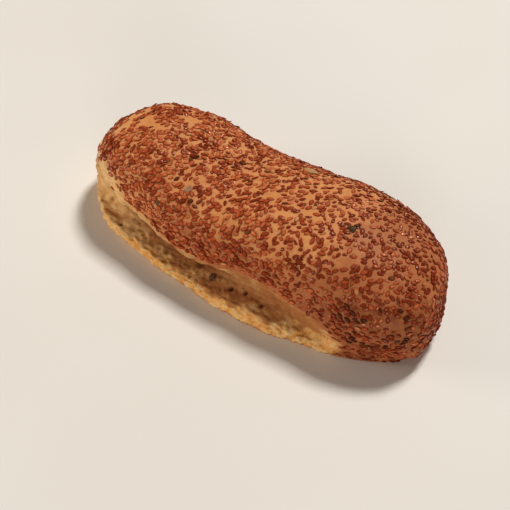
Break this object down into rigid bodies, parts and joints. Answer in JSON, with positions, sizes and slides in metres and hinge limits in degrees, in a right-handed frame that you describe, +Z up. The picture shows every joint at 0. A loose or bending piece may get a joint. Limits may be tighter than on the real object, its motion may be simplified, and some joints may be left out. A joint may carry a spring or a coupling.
{
  "type": "seeded bread roll",
  "caption": "Long, slightly waisted bread roll with a domed seeded crust, a torn pale side under an overhanging lip, and a flat base.",
  "frame": {"origin": "middle of the loaf's bounding box at its flat base", "axes": "+X along the loaf, from its lower waisted end to its fuller end; -Y towards the torn side; +Z up"},
  "size_m": [0.236, 0.1042, 0.0582],
  "materials": {
    "crust": "baked crust, golden to chestnut brown, pale crumb along the torn side",
    "brown_seed": "smooth glossy reddish brown linseed",
    "golden_seed": "smooth glossy golden linseed",
    "kernel": "toasted hulled kernel"
  },
  "bodies": {
    "root": {"loaf": "crust"}
  },
  "joints": []
}
